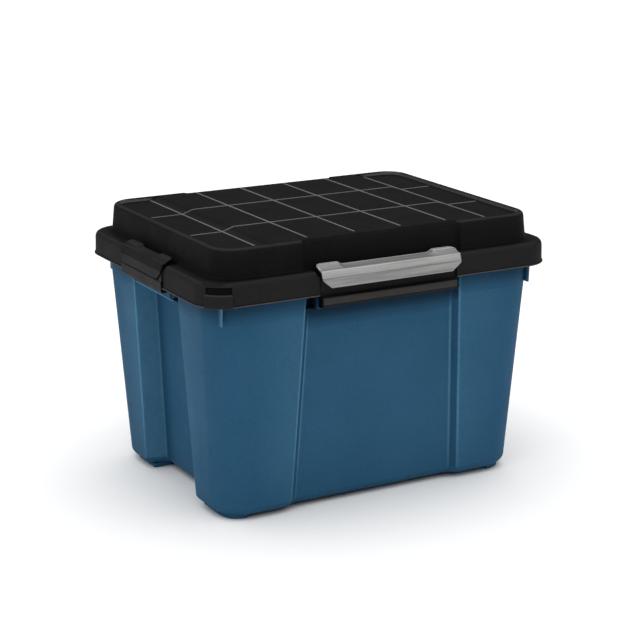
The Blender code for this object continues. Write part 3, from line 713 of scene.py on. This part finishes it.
def lid_painted_light(point):
    """Painted highlights on the lower bead, the skirt, the dome's edge and the tray walls; painted shade on
    the flat top, the dome walls, the creases and the tray floors' edges.
    """
    x, y, z = abs(point.x), abs(point.y), point.z
    skirt_from, shelf_z, crease_top = 0.2970, 0.3252, 0.3268
    outer = x > 0.2520 or y > 0.1850 or past_arc(x, y, 0.2160, 0.1490, 0.0405)
    if z < skirt_from:
        return 0.9 if outer and 0.2944 < z < 0.2958 else 0.0
    if z < shelf_z:
        return 0.10 if outer else 0.0
    if z < crease_top:
        return -0.75
    far, wide = TRAY_X[1], TRAY_Y
    inside = x < far + 0.0012 and y < wide + 0.0012
    inside = inside and not past_arc(x, y, far - TRAY_CORNER, wide - TRAY_CORNER, TRAY_CORNER + 0.0015)
    tray_wall = x > far - 0.0210 or y > wide and x > TRAY_X[0] + 0.0020
    if inside and z > TRAY_Z + 0.0006 and tray_wall:
        return 1.0 if y > wide - 0.0160 else 0.7
    if inside and TRAY_Z - 0.0004 < z < TRAY_Z + 0.0006:
        return -0.60
    if z < 0.3606:
        if z > 0.3560:
            return 0.0
        return -0.12 if x > 0.2240 and y < 0.1500 else -0.22
    brink = x > far + 0.0030 or y > wide + 0.0030 or past_arc(x, y, 0.1990, 0.1410, 0.0245)
    return 0.13 if brink and z < LID_TOP_Z - 0.0001 else -0.60


def lug_painted_light(point):
    """Painted light on the lugs: a little paler than the skirt, with painted highlights along their edges;
    painted shade in the pocket above.
    """
    pocket_z, low_edge, high_edge = 0.3116, 0.2950, 0.3102
    if point.z > pocket_z:
        return -0.9
    return 0.30 if point.z < low_edge or point.z > high_edge else 0.12


def make_lid():
    """The shell, from the beaded skirt over the shelf and the dome; then its trays, its pockets for
    the latches and a small pocket with a lug below it at two opposite corners."""
    outside = [skirt_ring(z, inset) for z, inset in (
        (0.2940, 0.0022), (0.2940, 0.0014), (0.2942, 0.0006), (0.2947, 0.0001), (0.2954, 0.0),
        (0.2962, 0.0003), (0.2968, 0.0009), (0.2974, 0.0013), (0.2984, 0.0014), (0.3080, 0.0016),
        (0.3172, 0.0018), (0.3196, 0.0022), (0.3212, 0.0028), (0.3227, 0.0038), (0.3238, 0.0051),
        (0.3246, 0.0067), (0.3250, 0.0084))]
    outside += [
        dome_ring(0.3256, -0.0032, 0.0360, 0.0040),
        dome_ring(0.3259, -0.0018, 0.0354, 0.0050),
        dome_ring(0.3264, -0.0008, 0.0348),
        dome_ring(0.3274, -0.0002, 0.0342),
        dome_ring(0.3292, 0.0005, 0.0337)]
    outside += [dome_ring(z, inset, radius) for z, inset, radius in (
        (0.3440, 0.0017, 0.0331), (0.3570, 0.0028, 0.0325), (0.3590, 0.0031, 0.0322),
        (0.3605, 0.0037, 0.0317), (0.3617, 0.0046, 0.0309), (0.3626, 0.0058, 0.0300),
        (0.3632, 0.0072, 0.0290), (LID_TOP_Z, 0.0088, 0.0278))]
    under_tray = TRAY_Z - SHEET
    hollow = ((under_tray, 0.0084, 0.0088, 0.0285), (under_tray - 0.0004, 0.0070, 0.0074, 0.0292),
              (under_tray - 0.0020, 0.0058, 0.0062, 0.0300), (0.3270, 0.0034, 0.0034, 0.0315),
              (LID_SEAT_Z, 0.0030, 0.0030, 0.0320))
    inside = [lid_ring(z, FOOT_HALF[0] - dx, FOOT_HALF[1] - dy, radius, RECESS_DEPTH)
              for z, dx, dy, radius in hollow]
    inside += [
        skirt_ring(LID_SEAT_Z, 0.0058),
        skirt_ring(0.3145, 0.0045),
        skirt_ring(0.2946, 0.0040),
        skirt_ring(LID_LOW_Z, 0.0034),
    ]
    lid = closed_loft("lid_moulding", outside + inside, BLACK, capped=len(outside) - 1)

    x, y, radius = TRAY_X[0] - SHEET, 0.1585, 0.012
    underside = solids("underside_guide", [[
        plate_ring(x, y, radius, under_tray - 0.004),
        plate_ring(x, y, radius, under_tray),
        plate_ring(x - TRAY_SLOPE, y, radius, LID_TOP_Z - SHEET)]])
    cx, cy = LID_HALF[0] - LID_CORNER, LID_HALF[1] - LID_CORNER
    pocket = rounded([(LID_CORNER - 0.0056, 0.3113), (LID_CORNER + 0.006, 0.3113),
                      (LID_CORNER + 0.006, 0.3203), (LID_CORNER - 0.0044, 0.3203)], 0.0014, 3)
    pockets = solids("pocket_guide", [corner_block(cx, cy, pocket, sign, 0.0006) for sign in (-1, 1)])
    cut(lid, underside, tray_cutters(), *bay_cutters(), pockets)
    mark_painted_light(lid, lid_painted_light)
    finish_piece(lid, "lid", "lid_black", 40, ("lid_shell",))

    back = rounded([(LID_CORNER - 0.0072, 0.3080), (LID_CORNER - 0.0030, 0.3080),
                    (LID_CORNER - 0.0044, 0.3222), (LID_CORNER - 0.0072, 0.3222)], 0.0006, 2)
    stacks = [corner_block(cx, cy, back, sign, 0.0005) for sign in (-1, 1)]
    nose = rounded([(LID_CORNER - 0.0030, 0.2941), (LID_CORNER + 0.0020, 0.2941),
                    (LID_CORNER + 0.0020, 0.3113), (LID_CORNER - 0.0030, 0.3113)],
                   (0.0008, 0.0016, 0.0016, 0.0008), 4)
    stacks += [corner_block(cx, cy, nose, sign) for sign in (-1, 1)]
    lugs = solids("lid_lugs", stacks, BLACK)
    mark_painted_light(lugs, lug_painted_light)
    finish_piece(lugs, "lid", "lid_black")


def make_ribs():
    """The fine raised grid on the top, dipping into the end trays."""
    stacks = []
    slope_top = TRAY_X[0] - TRAY_SLOPE
    path = [(0.2185, TRAY_Z), (TRAY_X[0] + 0.0020, TRAY_Z), (TRAY_X[0], TRAY_Z + 0.0003),
            (slope_top + 0.0008, LID_TOP_Z - 0.0002), (slope_top - 0.0015, LID_TOP_Z)]
    path = [(-x, z) for x, z in path] + path[::-1]
    section = rounded([(-RIB_HALF, -RIB_HIGH), (RIB_HALF, -RIB_HIGH), (RIB_HALF * 0.8, RIB_HIGH),
                       (-RIB_HALF * 0.8, RIB_HIGH)], (0.0001, 0.0001, 0.0006, 0.0006), 3)
    for y in (-RIB_Y, RIB_Y):
        stacks.append([[(x, y + dy, z + dz) for dy, dz in section] for x, z in path])
    for x, z, reach in zip(RIB_X, (LID_TOP_Z, LID_TOP_Z, TRAY_Z), (0.1600, 0.1600, 0.1625)):
        for sign in (-1, 1):
            stacks.append([[(sign * x + dx * 1.35, y, z + dz * 0.9) for dx, dz in section]
                           for y in (-reach, reach)])
    finish_piece(solids("lid_grid_ribs", stacks, RIB), "lid", "lid_black", 50)


def ear_spots(half):
    """Where the middles of a latch's two ears lie along its side."""
    return (-(half - EAR_INSET), half - EAR_INSET)


def make_ears():
    """Two ears for each latch's pins, standing on the pocket's floor."""
    stacks, foot_z = [], LID_SEAT_Z + 0.0010
    for _, out, axis, half, *_ in LATCHES:
        outline = [(axis + KNUCKLE_R + 0.0010, foot_z)]
        outline += [(axis + KNUCKLE_R * cos(k * pi / 16), AXIS_Z + KNUCKLE_R * sin(k * pi / 16))
                    for k in range(21)]
        outline.append((axis - KNUCKLE_R * 0.7071, foot_z))
        for spot in ear_spots(half):
            stacks.append(bar(out, outline, (spot - EAR_THICK / 2, spot + EAR_THICK / 2), 0.0004, 2))
    finish_piece(solids("lid_hinge_ears", stacks, BLACK), "lid", "lid_black")


def make_seal():
    """A soft ring between the tub's rim and the lid's seat."""
    low, high = RIM_TOP_Z + 0.0003, LID_SEAT_Z - 0.0003
    section = rounded([(0.0064, low), (0.0044, low), (0.0032, high), (0.0076, high)],
                      (0.0009, 0.0009, 0.0004, 0.0004))
    rings = [plate_ring(RIM_HALF[0] - inset, RIM_HALF[1] - inset, RIM_CORNER - inset, z, 16)
             for inset, z in section]
    finish_piece(closed_loft("lid_soft_seal", rings, RUBBER), "lid", "seal_rubber", 50, ("lid_seal",))


# ---------------------------------------------------------------- latches
def make_arm(name, out, axis, half, face, low, band_top, band_back):
    """A latch's moulding: a wall that hangs down to the band, a ledge under the grip and two cheeks
    on each ear. A long latch has a browner face let into its band; a short one is filled in at the
    grip's lower corners."""
    wall, skin = axis + 0.0076, 0.0028
    front = axis + face - 0.0042
    band = axis + face - band_back
    top_high, top_low = AXIS_Z - 0.0029, BAY_FLOOR_Z + 0.0006
    shape = [
        (wall, low), (band, low), (band, band_top), (wall + skin, band_top), (wall + skin, top_low),
        (front, top_low), (front - 0.0004, top_high), (axis + 0.0060, top_high),
        (axis + 0.0060, top_low), (wall, top_low)]
    outline = rounded(shape, (0.0012, 0.0032, 0.0024, 0.0008, 0.0010, 0.0012, 0.0010, 0.0006, 0.0006, 0.0006))
    stacks = [bar(out, outline, (-half + 0.0012, half - 0.0012), 0.0005, 3, (0.0042 - half, half - 0.0042))]
    cheek = [(axis - KNUCKLE_R * sin(k * pi / 12), AXIS_Z + KNUCKLE_R * cos(k * pi / 12)) for k in range(13)]
    cheek += [(axis + v, AXIS_Z + z) for v, z in (
        (0.0030, -KNUCKLE_R), (0.0075, -0.0052), (0.0090, -0.0035), (0.0070, 0.0010), (0.0030, KNUCKLE_R))]
    beside = EAR_THICK / 2 + CHEEK_GAP
    for spot in ear_spots(half):
        for side in (-1, 1):
            ends = sorted((spot + side * beside, spot + side * (beside + CHEEK)))
            stacks.append(bar(out, cheek, ends, 0.0004, 2))
    body = name + "_latch"
    arm = solids(body + "_arm_moulding", stacks, ARM)
    # painted shade at the arm's ends
    mark_painted_light(arm, lambda point: -0.95 if off_middle(out, point) > half - 0.0026 else 0.0)
    finish_piece(arm, body, "latch_black", 40, (body + "_arm",))
    if band_back > 0.002:
        face_outline = [(band - 0.0040, low + 0.0034), (band + 0.0001, low + 0.0034),
                        (band + 0.0001, band_top - 0.0004), (band - 0.0040, band_top - 0.0004)]
        rings = bar(out, rounded(face_outline, (0.0004, 0.0014, 0.0022, 0.0004), 5),
                    (-half + 0.0036, half - 0.0036), 0.0003, 2)
        finish_piece(solids(body + "_band_face", [rings], BAND), body, "latch_black", 40)
        return
    corners = []
    for sign in (-1, 1):
        rings = []
        for d, top in ((0.0018, 0.3140), (0.0060, 0.3108), (0.0115, 0.3056)):
            rings.append([on_side(out, sign * (half - d), v, z) for v, z in (
                (wall + skin - 0.0004, band_top - 0.004), (band - 0.0008, band_top - 0.004),
                (band - 0.0008, top - 0.0005), (band - 0.0016, top), (wall + skin - 0.0004, top))])
        corners.append(rings)
    finish_piece(solids(body + "_corner_fillers", corners, ARM), body, "latch_black", 40)


def grip_outline(axis, face, hump, lowest, inset, drawn):
    """A grip plate's (v, z) outline: a rising back edge, a dished top, a fold and the upright face.
    The hump, 0 to 1, raises the back; drawn pulls it toward the fold."""
    front = axis + face
    edge = max(lowest, GRIP_LOW_Z)
    crease, width = front - 0.0075, face - 0.0053
    points = [
        (axis - 0.0022, AXIS_Z + 0.0012 + 0.0037 * hump),
        (axis - 0.0014, AXIS_Z + 0.0028 + 0.0037 * hump),
        (axis + 0.0040, AXIS_Z + 0.0010 + 0.0050 * hump),
        (axis + 0.0095, AXIS_Z + 0.0000 + 0.0032 * hump),
        (crease, AXIS_Z + 0.0004 + 0.0012 * hump),
        (front - 0.0052, AXIS_Z + 0.0011),
        (front - 0.0034, AXIS_Z + 0.0004),
        (front - 0.0006, AXIS_Z - 0.0074),
        (front, AXIS_Z - 0.0092),
        (front, edge),
        (front - GRIP_THICK, edge),
        (front - GRIP_THICK, AXIS_Z - 0.0090),
        (front - GRIP_THICK - 0.0026, AXIS_Z - 0.0022),
        (crease, AXIS_Z - 0.0012 + 0.0010 * hump),
        (axis + 0.0095, AXIS_Z - 0.0018 + 0.0030 * hump),
        (axis + 0.0045, AXIS_Z - 0.0010 + 0.0052 * hump),
        (axis - 0.0010, AXIS_Z + 0.0004 + 0.0036 * hump),
    ]
    rounds = (0.0005, 0.0007, 0.0022, 0.0025, 0.0014, 0.0010, 0.0012, 0.0010, 0.0010,
              0.0006, 0.0006, 0.0008, 0.0010, 0.0012, 0.0022, 0.0022, 0.0006)
    points = [(v + drawn * max(0.0, crease - v) / width, z) for v, z in points]
    return shrunk([(v - inset * 0.3, z) for v, z in rounded(points, rounds, 4)], inset)


def make_grip(name, out, axis, half, face, mat, slot):
    """A grip plate, raised to a hump and cut away below toward each end."""
    cut_from, cut_run, cut_z = 0.0016, 0.0114, 0.3145
    stations = [(0.0008 * (1 - cos(a)), 0.0004 * (1 - sin(a))) for a in quarter_turn(3)]
    stations += [(d / 1000, 0.0) for d in (
        1.6, 2.4, 3.4, 4.6, 6.0, 8.0, 10.0, 12.0, 13.0, 14.0, 16.0, 22.0, 30.0,
        31.0, 32.0, 33.0, 34.0, 35.0, 36.0, 37.0, 38.0, 39.0, 40.0, 41.0, 44.0)]
    rings = []
    for d, inset in stations:
        hump = 1.0 - smooth_step((d - HUMP_END) / HUMP_RUN)
        if d < cut_from:
            lowest = 0.3162 - 0.0017 * d / cut_from
        else:
            lowest = blend((cut_z, GRIP_LOW_Z), (d - cut_from) / cut_run)
        drawn = GRIP_DRAWN * (1.0 - (1.0 - max(0.0, 1.0 - d / GRIP_ROUND) ** 2) ** 0.5)
        rings.append((d - half, grip_outline(axis, face, hump * (1.0 - 60.0 * drawn), lowest, inset, drawn)))
    rings += [(-u, ring) for u, ring in rings[::-1]]
    stack = [[on_side(out, u, v, z) for v, z in ring] for u, ring in rings]
    grip = solids(name + "_latch_grip_plate", [stack], mat)

    # painted highlight and painted shade for the fold, the face, the top edge and the dish
    fold, face_on, brow, dish = (0.20, -0.18, 0.12, -0.48) if mat is SILVER else (-0.30, -0.85, -0.20, -0.45)

    def weigh(point):
        """Painted light: on silver a painted highlight on the fold above the face and along the top edge,
        painted shade on the face and the dish behind the fold; on black painted shade throughout, deepest on
        the face.
        """
        v, z = point.x * out[0] + point.y * out[1] - axis, point.z - AXIS_Z
        if z < -0.0080:
            return face_on
        if v > face - 0.0036:
            return fold
        rim = off_middle(out, point) > half - 0.0012 or v < 0.0008 or z > 0.0052
        return brow if rim else dish

    mark_painted_light(grip, weigh)
    finish_piece(grip, name + "_latch", slot, 40, (name + "_latch_grip",))


make_tub()
make_feet()
make_strips()
make_lid()
make_ribs()
make_ears()
make_seal()
for side, out, axis, half, face, low, band_top, band_back in LATCHES:
    make_arm(side, out, axis, half, face, low, band_top, band_back)
    mat, slot = (SILVER, "grip_silver") if out[0] == 0 else (ARM, "latch_black")
    make_grip(side, out, axis, half, face, mat, slot)
for node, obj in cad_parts.items():
    if "_pin_" in node:
        obj.data.materials.clear()
        obj.data.materials.append(STEEL)
        obj.data.shade_smooth()
        obj.data.set_sharp_from_angle(angle=radians(35))


# ---------------------------------------------------------------- stage, light and camera
SKY_LOW, SKY_HIGH = 0.10, 1.75


def make_floor():
    """A wide pale floor."""
    size = 14.0
    corners = [(-size, -size, 0), (size, -size, 0), (size, size, 0), (-size, size, 0)]
    floor = make_object("studio_floor", corners, [(0, 1, 2, 3)], None)
    mat, nodes, links, shader = new_material("studio_floor_pale")
    where = nodes.new("ShaderNodeTexCoord").outputs["Object"]
    soft = noise(nodes, links, where, 0.8, 2.0)
    links.new(tint(nodes, links, soft, (0.90, 0.90, 0.90), (0.93, 0.93, 0.93)), shader.inputs["Base Color"])
    shader.inputs["Roughness"].default_value = 0.9
    shader.inputs["Specular IOR Level"].default_value = 0.1
    floor.data.materials.append(mat)


def area_light(name, place, aim, size, power):
    """A soft rectangular light that faces its aim."""
    data = bpy.data.lights.new(name, 'AREA')
    data.shape = 'RECTANGLE'
    data.size, data.size_y = size
    data.energy = power
    light = bpy.data.objects.new(name, data)
    bpy.context.scene.collection.objects.link(light)
    light.location = place
    light.rotation_euler = (Vector(aim) - Vector(place)).to_track_quat('-Z', 'Y').to_euler()


def make_camera():
    """Looks at the tote's front and left end, a little from above."""
    azimuth, elevation, distance = radians(-29.29), radians(15.46), 2.5105
    low, high = Vector(CAD_BOX[0]), Vector(CAD_BOX[1])
    aim = Vector(((low.x + high.x) / 2 + 0.0008, 0.0, high.z * 0.569))
    away = Vector((sin(azimuth) * cos(elevation), -cos(azimuth) * cos(elevation), sin(elevation)))
    data = bpy.data.cameras.new("camera")
    data.sensor_width = 36.0
    data.lens = 103.49
    data.clip_end = 100.0
    camera = bpy.data.objects.new("camera", data)
    bpy.context.scene.collection.objects.link(camera)
    camera.location = aim + away * distance
    camera.rotation_euler = (-away).to_track_quat('-Z', 'Y').to_euler()
    bpy.context.scene.camera = camera


def make_world():
    """A white studio: bright overhead, dim near the horizon, plain white behind the object."""
    world = bpy.data.worlds.new("studio")
    world.use_nodes = True
    nodes, links = world.node_tree.nodes, world.node_tree.links
    sky = nodes["Background"]
    sky.inputs["Color"].default_value = (1.0, 1.0, 1.0, 1.0)
    height = nodes.new("ShaderNodeSeparateXYZ")
    links.new(nodes.new("ShaderNodeTexCoord").outputs["Generated"], height.inputs["Vector"])
    glow = nodes.new("ShaderNodeMapRange")
    glow.interpolation_type = 'SMOOTHSTEP'
    for key, number in (("From Min", 0.25), ("From Max", 0.85), ("To Min", SKY_LOW), ("To Max", SKY_HIGH)):
        glow.inputs[key].default_value = number
    links.new(height.outputs["Z"], glow.inputs["Value"])
    seen = nodes.new("ShaderNodeMix")
    links.new(nodes.new("ShaderNodeLightPath").outputs["Is Camera Ray"], seen.inputs[0])
    links.new(glow.outputs["Result"], seen.inputs[2])
    seen.inputs[3].default_value = 1.0
    links.new(seen.outputs[0], sky.inputs["Strength"])
    bpy.context.scene.world = world
    bpy.context.scene.view_settings.view_transform = 'Standard'


make_floor()
area_light("overhead", (0.0, 0.2, 2.6), (0, 0, 0.2), (2.4, 2.4), 8.0)
area_light("left_side", (-2.6, -0.6, 1.5), (0, 0, 0.2), (1.6, 1.6), 3.5)
make_camera()
make_world()
